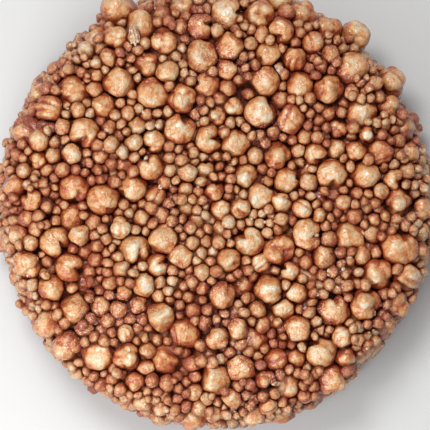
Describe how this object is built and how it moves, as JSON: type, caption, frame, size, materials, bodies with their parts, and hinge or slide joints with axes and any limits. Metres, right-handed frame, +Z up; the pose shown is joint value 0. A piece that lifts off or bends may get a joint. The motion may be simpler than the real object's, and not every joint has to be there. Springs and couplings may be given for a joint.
{
  "type": "chocolate amaranth bite",
  "caption": "Round pressed snack disc of cocoa-coated popped and half-popped amaranth, with an uneven grainy crown and wall and a flat underside.",
  "frame": {"origin": "middle of the flat underside", "axes": "+Z up out of the crown; +X to the right and +Y to the top of the reference picture"},
  "size_m": [0.0504, 0.0505, 0.0129],
  "materials": {
    "cocoa_grain": "toasted popped grain under a thin satin coat of set cocoa syrup",
    "cocoa_syrup": "set cocoa syrup, dark and slightly milky, glossy in the gaps"
  },
  "bodies": {
    "root": {"amaranth_bite": "cocoa_grain"}
  },
  "joints": []
}
